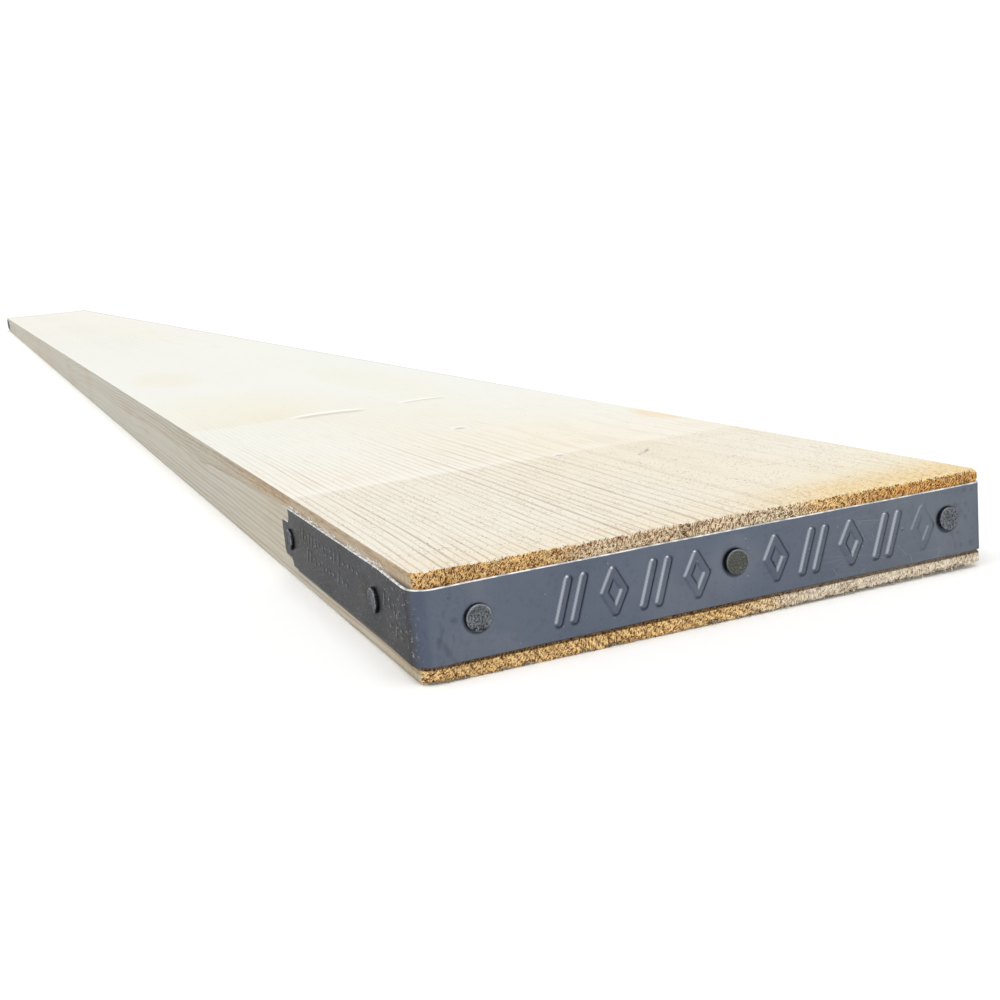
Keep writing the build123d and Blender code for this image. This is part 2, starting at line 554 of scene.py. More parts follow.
    def paint_knots(self):
        """Pin knots in the top face, and larger knots underneath."""
        for centre, size in PIN_KNOTS:
            knot, along, _ = self.oval(centre, (size, size * 0.72))
            # A dark half ring on the near side of each pin knot is painted shade, and its pale far side a
            # painted highlight
            rim = knot.rise(0.25, 0.75) * knot.rise(1.5, 0.9) * along.rise(0.4, -0.6)
            self.stain(rim * self.on_top * 0.75, (0.42, 0.38, 0.36))
            self.cover(knot.rise(3.0, 1.2) * self.on_top * 0.5, (0.88, 0.87, 0.84))
            self.stain(knot.rise(0.7, 0.2) * self.on_top * 0.8, (0.60, 0.60, 0.62))
            lit_far_side = knot.rise(1.1, 0.4) * along.rise(0.1, 0.8)
            self.cover(lit_far_side * self.on_top * 0.6, (0.90, 0.88, 0.84))
        on_bottom = self.nz.rise(-0.3, -0.7)
        for centre, size in UNDERSIDE_KNOTS:
            knot, _, _ = self.oval(centre, (size * 1.3, size))
            swirl = (knot.root() * 5.0 + self.streak).fraction().rise(0.35, 0.8) * knot.rise(1.2, 0.8)
            self.stain(knot.rise(1.15, 0.75) * on_bottom * 0.9, (0.74, 0.54, 0.36))
            self.stain(swirl * on_bottom * 0.7, (0.62, 0.44, 0.30))

    def paint_tears(self):
        """Tears that the planer left: a painted shadow line beside a lip that stands up, painted pale as a
        highlight.
        """
        for centre, half_size, turn, dark, step in TEARS:
            tear, along, across = self.oval(centre, half_size, math.radians(turn))
            bent = across + along.power(2) * 0.35
            lip = bent.rise(0.05, 0.35) * bent.rise(0.95, 0.40) * tear.rise(1.2, 0.4) * self.on_top
            # The lip painted pale: a painted highlight
            self.cover(lip * 0.9, (0.95, 0.94, 0.90))
            # The dark line beside it: painted shadow
            line = bent.abs().rise(0.60, 0.05) * tear.rise(1.1, 0.4) * self.on_top
            self.stain(line * dark, (0.55, 0.47, 0.38))
            self.relief += lip * step


def make_long_grain():
    wood = LongGrain()
    wood.paint_rings()
    wood.paint_fibres()
    wood.paint_edges()
    wood.paint_scuffed_ends()
    wood.paint_resin()
    wood.paint_knots()
    wood.paint_tears()

    # Splinters carry their own tone; the places where the arris has broken out are darkened, painted shade in
    # the notches
    wood.stain(wood.attribute("torn") * 0.9, (0.30, 0.24, 0.18))
    wood.cover(wood.attribute("tone").rise(0.0, 1.0), (0.95, 0.91, 0.83))
    return wood.finish(wood.relief, 0.30 * MM, 0.55)


def make_end_grain():
    """Sawn ends: honey-coloured wood with a bleached middle, torn fibres and dark pits."""
    wood = Surface("end_grain", roughness=0.85, specular=0.15)
    late, ring_weight = ring_field(wood)
    across = wood.y + wood.noise(22.0, offset=4.0) * 0.05 - 0.025
    low_half = wood.z.rise(0.024, 0.014)
    top_strip = wood.z.rise(0.028, 0.034)
    middle = (across + low_half * 0.075).rise(0.075, 0.050) * across.rise(-0.045, -0.020)
    low_right = across.rise(0.0, -0.04) * low_half
    bleached = middle.most(low_right)
    warp = (wood.noise(60.0, 1.0, offset=31.0) - 0.5) * 0.012
    lean = wood.y + wood.z * 0.65 + warp
    climb = wood.z - wood.y * 0.65 + warp
    fibre_bed = wood.vector(0.0, lean, climb * 0.42)
    fibre = wood.noise(1350.0, 2.0, 0.75, offset=1.0, vector=fibre_bed)
    tuft = wood.noise(420.0, 2.0, 0.6, offset=2.0)
    light = (fibre * 0.82 + tuft * 0.18 + low_half * 0.010).rise(0.445, 0.535)
    honey = wood.mix(light, (0.240, 0.078, 0.014), (1.000, 0.715, 0.315))
    straw = wood.mix(light, (0.250, 0.135, 0.066), (1.000, 0.900, 0.700))
    wood.colour = wood.mix(bleached * 0.9, honey, straw)
    wood.stain(top_strip * (1 - across.rise(0.02, -0.02) * 0.7), (0.84, 0.77, 0.69))
    wood.stain(top_strip * across.rise(-0.050, -0.075), (0.90, 0.72, 0.46))
    ring_share = low_half * (0.35 + across.rise(-0.03, 0.01) * 0.40) + 0.30
    wood.stain(late * (ring_weight * 0.6 + 0.4) * ring_share, (0.40, 0.25, 0.14))
    pits = wood.noise(2100.0, 2.0, 0.8, offset=7.0)
    wood.stain(pits.rise(0.48, 0.36) * 0.9, (0.26, 0.15, 0.08))
    glint = wood.noise(2300.0, 2.0, 0.7, offset=17.0, vector=fibre_bed).rise(0.57, 0.64)
    wood.cover(glint * 0.75, (1.0, 0.90, 0.68))
    wood.cover(low_half * low_right * 0.35, (0.86, 0.80, 0.68))

    # A sliver's tone is from 0 to 1 for a dark one and from 1 to 2 for a pale one
    tone = wood.attribute("tone")
    pale_sliver = wood.mix(bleached, (1.0, 0.76, 0.36), (1.0, 0.88, 0.66))
    wood.cover((tone - 1.0).rise(0.0, 1.0), pale_sliver)
    wood.stain(tone.rise(0.0, 0.45) * tone.rise(1.0, 0.8), (0.34, 0.19, 0.085))
    strip_foot = BAND_LOW[2] + ((wood.x * wood.y) / (HALF_LENGTH * HALF_WIDTH) + 1.0) * STRIP_TILT
    # A dark line just under the band's lower edge: painted shadow
    shadow_under_band = ((wood.z - strip_foot) / MM + 0.80).abs().rise(1.00, 0.50)
    wood.stain(shadow_under_band * 0.9, (0.16, 0.12, 0.09))
    # The broken-out notches darkened: painted shade
    wood.stain(wood.attribute("torn") * 0.9, (0.25, 0.17, 0.10))
    return wood.finish(fibre * 0.6 + pits * 0.4 + tuft * 0.6, 0.6 * MM, 0.9)


# ---- Board ----

ARRIS = 0.8 * MM
WIDE_CORNER = 5.0 * MM
TIGHT_CORNER = 3.0 * MM
SHARP_CORNER = 0.9 * MM
UNDERSIDE_RISE = 1.5 * MM
LEAF_LENGTH = 13.5 * MM
LEAF_WIDTH = 2.6 * MM
FUZZ_AMOUNT = 4200
SPLINTER_AMOUNT = 420
ROUNDING_STEPS = np.array([0.0, 0.25, 0.5, 0.85]) * MM
FINE_REACH = 8.1 * MM
MEDIUM_REACH = 171 * MM
SAWN_REACH = 2.6 * MM
FINE_STRIP = 7.5 * MM
LONG_SLOT, END_SLOT = 0, 1


def strip_lift(turned):
    """How much higher the strip was nailed, by the place across the board seen from its end."""
    return STRIP_TILT * (1 - np.clip(turned / HALF_WIDTH, -1, 1))


def underside_rise(turned, from_end):
    """How far the underside climbs towards one corner of each end."""
    return UNDERSIDE_RISE * smoothstep(0.05, -0.10, turned) * smoothstep(0.30, 0.0, from_end)


def stitched(first, second, offset_first, offset_second, place_first, place_second):
    """Triangles between two rows of points that run the same way but differ in number."""
    triangles = []
    i = j = 0
    while i < first - 1 or j < second - 1:
        step_first = j == second - 1 or (i < first - 1 and place_first[i + 1] <= place_second[j + 1])
        if step_first:
            triangles.append((offset_first + i, offset_first + i + 1, offset_second + j))
            i += 1
        else:
            triangles.append((offset_first + i, offset_second + j + 1, offset_second + j))
            j += 1
    return triangles


def row_points(x, y, z):
    """The points of one row, where any of the three may be one number for all of it."""
    return np.stack(np.broadcast_arrays(x, y, z), 1)


def patch(stations, rows, build_row):
    """A sheet through rows of points. rows[i] holds the places along the row at stations[i]."""
    vertices, faces, offsets = [], [], []
    count = 0
    for station, row in zip(stations, rows):
        vertices.append(build_row(station, row))
        offsets.append(count)
        count += len(row)
    for i in range(len(rows) - 1):
        a, b = rows[i], rows[i + 1]
        if len(a) == len(b):
            left = np.arange(len(a) - 1)
            p, q = offsets[i] + left, offsets[i + 1] + left
            faces += np.stack([p, p + 1, q + 1, q], 1).tolist()
        else:
            faces += stitched(len(a), len(b), offsets[i], offsets[i + 1], a, b)
    return np.concatenate(vertices), faces


def rows_for(stations, fine, medium, coarse):
    """The row of places for each station: finer towards both ends of the board."""
    from_end = HALF_LENGTH - np.abs(stations)
    return [fine if d <= FINE_REACH else medium if d <= MEDIUM_REACH else coarse for d in from_end]


def with_arrises(half_low, half_high, step):
    """Values from one edge to the other, with the close ones that a rounded edge needs."""
    low, high = half_low + ROUNDING_STEPS, half_high - ROUNDING_STEPS
    return joined(low, high, spaced(low[-1], high[-1], step))


def rounded_block(points, half, middle, radius):
    """Points on a block's faces moved so that its edges have that radius, or each its own."""
    local = points - middle
    radius = np.broadcast_to(radius, (len(points),))[:, None]
    inner = np.clip(local, -(half - radius), half - radius)
    out = local - inner
    reach = np.abs(out).max(axis=1, keepdims=True)
    length = np.linalg.norm(out, axis=1, keepdims=True)
    scale = np.divide(reach, length, out=np.ones_like(reach), where=length > 1e-9)
    return middle + inner + out * scale


def board_shell():
    """The board's closed surface: vertices before rounding, faces, and each face's slot."""
    last_step = ROUNDING_STEPS[-1]
    stations_half = joined(
        ROUNDING_STEPS,
        spaced(last_step, 8 * MM, 0.7 * MM),
        spaced(8 * MM, 170 * MM, 2.4 * MM),
        spaced(170 * MM, 500 * MM, 8 * MM),
        spaced(500 * MM, HALF_LENGTH, 18 * MM),
    )
    stations = joined(stations_half - HALF_LENGTH, HALF_LENGTH - stations_half)
    fine_y = with_arrises(-HALF_WIDTH, HALF_WIDTH, 0.6 * MM)
    fine_z = joined(
        ROUNDING_STEPS,
        THICKNESS - ROUNDING_STEPS,
        spaced(last_step, FINE_STRIP, 0.55 * MM),
        spaced(FINE_STRIP, THICKNESS - FINE_STRIP, 4 * MM),
        spaced(THICKNESS - FINE_STRIP, THICKNESS - last_step, 0.55 * MM),
    )
    top_y = with_arrises(-HALF_WIDTH, HALF_WIDTH, 2.4 * MM)
    wide_y = with_arrises(-HALF_WIDTH, HALF_WIDTH, 9 * MM)
    edge_z = with_arrises(0.0, THICKNESS, 3.0 * MM)
    vertices, faces, slots = [], [], []
    count = 0

    def add(sheet, slot, sawn_reach=0.0):
        nonlocal count
        points, sheet_faces = sheet
        vertices.append(points)
        for face in sheet_faces:
            faces.append(tuple(count + i for i in face))
            sawn = HALF_LENGTH - abs(points[face[0], 0]) < sawn_reach
            slots.append(END_SLOT if sawn else slot)
        count += len(points)

    for z, medium in ((THICKNESS, top_y), (0.0, wide_y)):
        rows = rows_for(stations, fine_y, medium, wide_y)
        add(patch(stations, rows, lambda x, y, z=z: row_points(x, y, z)), LONG_SLOT)
    for side in (HALF_WIDTH, -HALF_WIDTH):
        rows = rows_for(stations, fine_z, edge_z, edge_z)
        add(patch(stations, rows, lambda x, z, y=side: row_points(x, y, z)), LONG_SLOT, SAWN_REACH)
    for end in (-HALF_LENGTH, HALF_LENGTH):
        rows = [fine_z] * len(fine_y)
        add(patch(fine_y, rows, lambda y, z, x=end: row_points(x, y, z)), END_SLOT)
    return np.concatenate(vertices), faces, slots


def welded(vertices, faces):
    """The same surface with the points that lie in one place made one."""
    keys = np.round(vertices / 1e-7).astype(np.int64)
    _, first, where = np.unique(keys, axis=0, return_index=True, return_inverse=True)
    where = where.reshape(-1)
    return vertices[first], [tuple(int(where[i]) for i in face) for face in faces]


def weathered(points, source):
    """Saw roughness on the ends, ragged end arrises, and slow waviness along the faces."""
    from_end = HALF_LENGTH - np.abs(source[:, 0])
    outward = np.sign(source[:, 0])
    at_end = smoothstep(1.2 * MM, 0.0, from_end)
    rough = 0.5 * lattice_noise(points, 0.8 * MM, 11) + 0.5 * lattice_noise(points, 2.6 * MM, 12)
    sawn = lattice_noise(points, (1.0, 5 * MM, 60 * MM), 13)
    moved = points.copy()
    moved[:, 0] += outward * at_end * (0.30 * rough + 0.12 * sawn - 0.15) * MM

    edge_down = THICKNESS - source[:, 2]
    near_top = smoothstep(2.4 * MM, 0.0, edge_down) * smoothstep(3.0 * MM, 0.0, from_end)
    near_bottom = smoothstep(2.2 * MM, 0.0, source[:, 2]) * smoothstep(2.6 * MM, 0.0, from_end)
    along = np.stack([outward, source[:, 1], np.zeros(len(points))], 1)
    tear = np.maximum(0, lattice_noise(along, (1.0, 1.3 * MM, 1.0), 14))
    tear += 0.8 * np.maximum(0, lattice_noise(along, (1.0, 4.0 * MM, 1.0), 15))
    turned = -outward * source[:, 1]
    moved[:, 2] -= near_top * (tear * 0.75 + smoothstep(-0.01, -0.07, turned) * 0.5) * MM
    moved[:, 2] += smoothstep(7 * MM, 0.0, source[:, 2]) * underside_rise(turned, from_end)
    often = 0.30 * smoothstep(-0.03, 0.02, turned)
    break_out = smoothstep(0.35 - often, 0.9 - often, lattice_noise(along, (1.0, 5.0 * MM, 1.0), 16))
    moved[:, 2] += near_bottom * (tear * 0.55 + break_out * 0.9) * MM
    # How far each broken-out place is darkened by the materials: painted shade
    torn = np.clip(near_bottom * (tear * 0.5 + break_out), 0, 1)

    face = np.abs(source[:, 2] - THICKNESS / 2) > THICKNESS / 2 - 0.01 * MM
    inset = smoothstep(0.0, 4 * MM, HALF_WIDTH - np.abs(source[:, 1])) * smoothstep(0, 10 * MM, from_end)
    wave = lattice_noise(points, (0.16, 0.03, 1.0), 17) * 0.10
    wave += lattice_noise(points, (0.012, 0.004, 1.0), 18) * 0.03
    upward = np.sign(source[:, 2] - THICKNESS / 2)
    moved[:, 2] += np.where(face, inset * upward * (wave - 0.1) * MM, 0)
    return moved, torn


def slivers(roots, directions, lengths, widths, seed, tone, bent=0.22):
    """Closed tapered slivers of wood, three-sided and slightly bent, one from each root."""
    draw = np.random.default_rng(seed)
    count = len(roots)
    directions = directions / np.linalg.norm(directions, axis=1, keepdims=True)
    side = np.cross(directions, draw.normal(size=(count, 3)))
    side /= np.linalg.norm(side, axis=1, keepdims=True)
    other = np.cross(directions, side)
    bend = side * draw.normal(0, bent, (count, 1)) + other * draw.normal(0, bent, (count, 1))
    vertices = []
    for share, swell in ((0.0, 1.0), (0.45, 0.8), (0.8, 0.5)):
        centre = roots + (directions * share + bend * share * share) * lengths[:, None]
        for turn in range(3):
            angle = turn * 2 * math.pi / 3
            offset = side * math.cos(angle) + other * math.sin(angle)
            vertices.append(centre + offset * widths[:, None] * swell / 2)
    vertices.append(roots + (directions + bend) * lengths[:, None])
    tones = np.tile(tone, len(vertices))
    points = np.concatenate(vertices)
    faces = []
    for i in range(count):
        ring = [[(3 * level + turn) * count + i for turn in range(3)] for level in range(3)]
        tip = 9 * count + i
        faces.append((ring[0][2], ring[0][1], ring[0][0]))
        for low, high in zip(ring, ring[1:]):
            for turn in range(3):
                after = (turn + 1) % 3
                faces.append((low[turn], low[after], high[after], high[turn]))
        for turn in range(3):
            faces.append((ring[2][turn], ring[2][(turn + 1) % 3], tip))
    return points, faces, tones


def end_fuzz(end, seed, amount):
    """Fibres torn up by the saw, over the strips of end grain above and below the band."""
    draw = np.random.default_rng(seed)
    y = draw.uniform(-HALF_WIDTH + 2.5 * MM, HALF_WIDTH - 3.5 * MM, amount)
    turned = -end * y
    low = draw.uniform(0.3 * MM + underside_rise(turned, 0.0), BAND_LOW[2] - 0.2 * MM, amount)
    high = draw.uniform(BAND_HIGH[2] + strip_lift(turned), THICKNESS - 0.4 * MM, amount)
    z = np.where(draw.uniform(size=amount) < 0.45, low, high)
    x = np.full(amount, end * (HALF_LENGTH - 0.35 * MM))
    slant = draw.normal(math.pi / 2, 0.7, amount)
    out = draw.uniform(0.05, 0.5, amount)
    flip = np.where(z < THICKNESS / 2, -1, 1) * np.where(draw.uniform(size=amount) < 0.35, -1, 1)
    directions = np.stack([end * out, np.cos(slant), np.sin(slant) * flip], 1)
    room = np.where(flip > 0, THICKNESS + np.where(turned > -0.02, 0.6, 0.15) * MM - z, z + 0.1 * MM)
    lengths = np.minimum(draw.uniform(0.6 * MM, 1.9 * MM, amount), np.maximum(room, 0.3 * MM))
    dark = draw.uniform(size=amount) < 0.5
    tone = np.where(dark, draw.uniform(0.0, 0.5, amount), draw.uniform(1.2, 2.0, amount))
    roots = np.stack([x, y, z], 1)
    return slivers(roots, directions, lengths, draw.uniform(0.18, 0.46, amount) * MM, seed + 1, tone)


def edge_splinters(end, side, seed, amount):
    """Pale splinters that the strip's upper edge has lifted from the board's side."""
    draw = np.random.default_rng(seed)
    close = draw.uniform(size=amount) < 0.5
    close_run = draw.uniform(7 * MM, 62 * MM, amount)
    distant_run = draw.uniform(60 * MM, 168 * MM, amount)
    from_end = np.where(close, close_run, distant_run)
    from_end = from_end[line_noise(from_end, 9 * MM, seed) > -0.25]
    amount = len(from_end)
    y = np.full(amount, side * (HALF_WIDTH - 0.15 * MM))
    z = draw.uniform(-0.2 * MM, 1.0 * MM, amount) + BAND_HIGH[2] + strip_lift(-end * side * HALF_WIDTH)
    directions = np.stack([
        draw.normal(0, 1.4, amount), side * draw.uniform(0.1, 0.6, amount), draw.uniform(-0.1, 0.6, amount),
    ], 1)
    lengths = draw.uniform(0.8 * MM, 2.8 * MM, amount)
    widths = draw.uniform(0.2, 0.6, amount) * MM
    roots = np.stack([end * (HALF_LENGTH - from_end), y, z], 1)
    return slivers(roots, directions, lengths, widths, seed + 1, draw.uniform(0.3, 1.0, amount))


def lifted_leaf():
    """One torn leaf of wood that stands up a little from the top face near the near end."""
    root = np.array([[NEAR_END + 0.1350, -0.0400, THICKNESS]])
    along = np.array([[0.66, -0.75, 0.0]])
    length, width, tone = np.array([[LEAF_LENGTH], [LEAF_WIDTH], [0.9]])
    leaf, faces, tones = slivers(root, along, length, width, 51, tone, bent=0.03)
    share = (leaf - root) @ along[0] / LEAF_LENGTH
    leaf[:, 2] = THICKNESS - 0.25 * MM + (leaf[:, 2] - THICKNESS) * 0.20 + 1.1 * MM * share ** 2
    return leaf, faces, tones


def make_board(long_grain, end_grain):
    shell, shell_faces, slots = board_shell()
    source, faces = welded(shell, shell_faces)
    middle = np.array([0, 0, THICKNESS / 2])
    half = np.array([HALF_LENGTH, HALF_WIDTH, THICKNESS / 2])
    points = rounded_block(source, half, middle, ARRIS)

    # The second rounding is for the upright corners only, so its block is far taller
    tall = np.array([0, 0, 10.0])
    up = points[:, 2]
    behind_strip = smoothstep(5.6 * MM, 6.6 * MM, up) * smoothstep(34.2 * MM, 33.4 * MM, up)
    tight = SHARP_CORNER + (TIGHT_CORNER - SHARP_CORNER) * behind_strip
    corner = np.where(points[:, 0] * points[:, 1] < 0, WIDE_CORNER, tight)
    points = rounded_block(points, half + tall, middle, corner)
    points, torn = weathered(points, source)
    vertices, tones = [points], [np.zeros(len(points))]
    count = len(points)

    fibres = [(end_fuzz(end, seed, FUZZ_AMOUNT), END_SLOT) for end, seed in ((-1, 21), (1, 31))]
    fibres.append((lifted_leaf(), LONG_SLOT))
    for end in (-1, 1):
        for side in (-1, 1):
            splinters = edge_splinters(end, side, 70 + 4 * end + side, SPLINTER_AMOUNT)
            fibres.append((splinters, LONG_SLOT))
    for (fuzz, fuzz_faces, fuzz_tones), slot in fibres:
        vertices.append(fuzz)
        tones.append(fuzz_tones)
        faces += [tuple(count + i for i in face) for face in fuzz_faces]
        slots += [slot] * len(fuzz_faces)
        count += len(fuzz)
    torn = np.concatenate([torn, np.zeros(count - len(torn))])
    looks = [long_grain, end_grain]
    board = to_object(
        "board_timber", np.concatenate(vertices), faces, looks, slots, tone=np.concatenate(tones), torn=torn
    )
    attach(board, "root")
    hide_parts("board")


# ---- End bands: a pressed strip, drawn as a sheet of places along and up the strip ----

LEG_LENGTH = 172 * MM
TONGUE_LENGTH = BAND_HIGH[0] - NEAR_END - LEG_LENGTH
TONGUE_LOW = 10 * MM
TONGUE_HIGH = 26 * MM
TONGUE_CORNER = 2.5 * MM
SHOULDER = 2.5 * MM
BEND_RADIUS = 6.5 * MM
TIGHT_BEND = 3.2 * MM
STAND_OFF = 0.75 * MM
TIGHT_STAND_OFF = 0.15 * MM
MARK_PITCH = 16 * MM
MARK_HEIGHT = 17.5 * MM
LOZENGE_WIDTH = 11 * MM
RIB_SPACING = 5.8 * MM
RIB_SLANT = math.radians(18)
STROKE = 3.4 * MM
BEVEL = 0.20 * MM
RELIEF = 0.85 * MM
HEAD_RADIUS = 4.75 * MM
LAST_MARK = 5
MARKED_FROM, MARKED_TO = -68 * MM, 93 * MM

# Rows of punched ticks on a leg: where each begins and ends, and its height over the middle
LEG_TICK_ROWS = [
    (64 * MM, 158 * MM, 5.6 * MM),
    (82 * MM, 146 * MM, -2.4 * MM),
    (14 * MM, 34 * MM, 3.4 * MM),
    (13 * MM, 33 * MM, -4.6 * MM),
]

BEND_LENGTH = BEND_RADIUS * math.pi / 2
FACE_HALF = HALF_WIDTH - BEND_RADIUS
STRIP_FLAT_END = FACE_HALF + BEND_LENGTH
STRIP_SHOULDER = STRIP_FLAT_END + LEG_LENGTH - BEND_RADIUS
STRIP_END = STRIP_SHOULDER + TONGUE_LENGTH
BAND_MIDDLE = (BAND_LOW[2] + BAND_HIGH[2]) / 2
MIDDLE_NAIL_Y = node_middle("nail_near_face_middle")[1]


def segment_distance(x, y, start, end):
    """How far each point lies from the line between two points."""
    ax, ay = start
    bx, by = end[0] - ax, end[1] - ay
    share = np.clip(((x - ax) * bx + (y - ay) * by) / (bx * bx + by * by), 0, 1)
    return np.hypot(x - ax - share * bx, y - ay - share * by)


def mark_distance(across, up):
    """How far each point lies from the middle of the nearest stroke pressed into the face."""
    nearest = np.full(len(across), 1.0)
    half_tall = (MARK_HEIGHT - STROKE) / 2
    half_wide = (LOZENGE_WIDTH - STROKE) / 2
    lean = half_tall * math.tan(RIB_SLANT)
    for step in range(-4, LAST_MARK + 1):
        x = across - MIDDLE_NAIL_Y + step * MARK_PITCH
        if step % 2:
            found = segment_distance(np.abs(x), np.abs(up), (half_wide, 0), (0, half_tall))
            nearest = np.minimum(nearest, found)
        elif step:
            for side in (-RIB_SPACING / 2, RIB_SPACING / 2):
                found = segment_distance(x - side, up, (lean, -half_tall), (-lean, half_tall))
                nearest = np.minimum(nearest, found)
    return nearest


def tick_distance(on_leg, up, seed):
    """The same for the rows of small punched dashes, bars and dots on one leg."""
    draw = np.random.default_rng(seed)
    nearest = np.full(len(on_leg), 1.0)
    for low, high, rise in LEG_TICK_ROWS:
        place = low
        while place < high:
            x, z = on_leg - place, up - rise - draw.uniform(-0.3, 0.3) * MM
            kind = draw.integers(3)
            if kind == 0:
                found = segment_distance(x, np.abs(z), (-0.5 * MM, 1.25 * MM), (0.5 * MM, 1.25 * MM))
            elif kind == 1:
                found = segment_distance(x, z, (0.9 * MM, -2.1 * MM), (-0.9 * MM, 2.1 * MM))
            else:
                found = np.hypot(x, z) - 0.3 * MM
            nearest = np.minimum(nearest, found)
            place += draw.uniform(4.4, 7.6) * MM
    return nearest


def strip_edges(along):
    """The strip's lowest and highest z at each place along it, with its shoulders and tongue."""
    distance = np.abs(along)
    shoulder = smoothstep(STRIP_SHOULDER - 0.05 * MM, STRIP_SHOULDER + 0.25 * MM, distance)
    slope = np.clip((distance - STRIP_SHOULDER) / SHOULDER, 0, 1)
    low = BAND_LOW[2] + shoulder * (TONGUE_LOW - SHOULDER - BAND_LOW[2]) + slope * SHOULDER
    high = BAND_HIGH[2] + shoulder * (TONGUE_HIGH + SHOULDER - BAND_HIGH[2]) - slope * SHOULDER
    into_corner = np.clip(distance - (STRIP_END - TONGUE_CORNER), 0, TONGUE_CORNER)
    corner = TONGUE_CORNER - np.sqrt(np.maximum(0, TONGUE_CORNER ** 2 - into_corner ** 2))
    wave = line_noise(along, 23 * MM, 47) * 0.15 * MM
    lift = strip_lift(-along)
    return low + corner + wave + lift, high - corner + wave + lift


def strip_place(along):
    """Where a place along the strip's inner face lies in plan, and which way it faces. One end
    of the strip is bent round gently and the other end tightly."""
    distance = np.abs(along)
    side = np.where(along < 0, 1.0, -1.0)
    radius = np.where(along < 0, BEND_RADIUS, TIGHT_BEND)
    lead = BEND_RADIUS - radius
    walked = np.clip((distance - FACE_HALF) / BEND_LENGTH, 0, 1) * (2 * lead + radius * math.pi / 2)
    turn = np.clip((walked - lead) / radius, 0, math.pi / 2)
    on_leg = np.maximum(0, distance - STRIP_FLAT_END) + np.maximum(0, walked - lead - radius * math.pi / 2)
    x = NEAR_END + radius * (1 - np.cos(turn)) + on_leg
    y = np.minimum(distance, FACE_HALF) + np.minimum(walked, lead) + radius * np.sin(turn)
    return np.stack([x, side * y], 1), np.stack([-np.cos(turn), side * np.sin(turn)], 1)


def nail_heads():
    """The band's nails: each one's name, its place along the strip and its height."""
    heads = []
    for face_nail in ("left", "middle", "right"):
        _, y, z = node_middle(f"nail_near_face_{face_nail}")
        heads.append((face_nail, -y, z + strip_lift(y)))
    for place in ("corner", "tongue"):
        x, _, z = node_middle(f"nail_near_left_{place}")
        along = x - NEAR_END - BEND_RADIUS + STRIP_FLAT_END
        for side in (-1, 1):
            heads.append((place, side * along, z + strip_lift(-side * HALF_WIDTH)))
    return heads


def marks_relief(s, up):
    """The pressed marks' height, their painted highlights, with some wear on the ticks, and their painted
    shade.
    """
    reach = np.abs(s)
    on_face = reach < FACE_HALF
    on_leg = np.maximum(0, reach - STRIP_FLAT_END) + BEND_RADIUS
    mark = np.where(on_face, mark_distance(-s, up), 1.0)
    tick = np.where(s < 0, tick_distance(on_leg, up, 61), tick_distance(on_leg, up, 62))
    tick = np.where(reach > STRIP_FLAT_END, tick, 1.0)
    last_mark_y = MIDDLE_NAIL_Y - LAST_MARK * MARK_PITCH
    depth = 1 - 0.6 * smoothstep(LOZENGE_WIDTH, LOZENGE_WIDTH * 0.6, np.abs(-s - last_mark_y))
    height = RELIEF * depth * smoothstep(STROKE * 0.54, STROKE * 0.24, mark)
    height += 0.30 * MM * smoothstep(0.85 * MM, 0.20 * MM, tick)

    # A stroke's slope gets a painted highlight on the side that looks up and to the left, and painted shade
    # on the other
    beyond = mark_distance(-s - 0.4 * MM, up - 0.5 * MM)
    toward_light = np.where(on_face, mark - beyond, 0.0) / (0.64 * MM)
    on_slope = smoothstep(STROKE * 0.50, STROKE * 0.40, mark)
    on_slope *= smoothstep(STROKE * 0.20, STROKE * 0.30, mark)
    crown = depth * smoothstep(0.15, 0.70, toward_light) * on_slope
    crown += 0.55 * smoothstep(0.60 * MM, 0.1 * MM, tick)
    foot = depth * smoothstep(0.10, -0.60, toward_light)
    foot *= smoothstep(STROKE * 0.72, STROKE * 0.45, mark) * smoothstep(STROKE * 0.16, STROKE * 0.40, mark)
    foot += 0.22 * depth * smoothstep(STROKE * 0.40, STROKE * 0.25, mark)
    foot += 0.5 * smoothstep(1.3 * MM, 0.8 * MM, tick) * smoothstep(0.4 * MM, 0.7 * MM, tick)
    return height, crown, foot


def nails_relief(s, z):
    """How far the nails draw the strip in, a painted highlight round the middle one, and painted
    shadow beside their heads."""
    sunk, dimple_highlight, head_shadow = np.zeros((3, len(s)))
    for name, head_s, head_z in nail_heads():
        from_head = np.hypot(s - head_s, z - head_z)
        beside_head = np.hypot(s - head_s + 0.35 * MM, z - head_z + 0.35 * MM)
        depth = 0.45 * MM if name == "middle" else 0.15 * MM
        sunk += depth * smoothstep(9 * MM, 3.5 * MM, from_head)
        head_shadow = np.maximum(head_shadow, 1.3 * smoothstep(HEAD_RADIUS + 0.8 * MM, HEAD_RADIUS + 0.1 * MM, beside_head))
        if name == "middle":
            dimple_highlight += 0.07 * smoothstep(14 * MM, 5 * MM, beside_head)
    return sunk, dimple_highlight, head_shadow


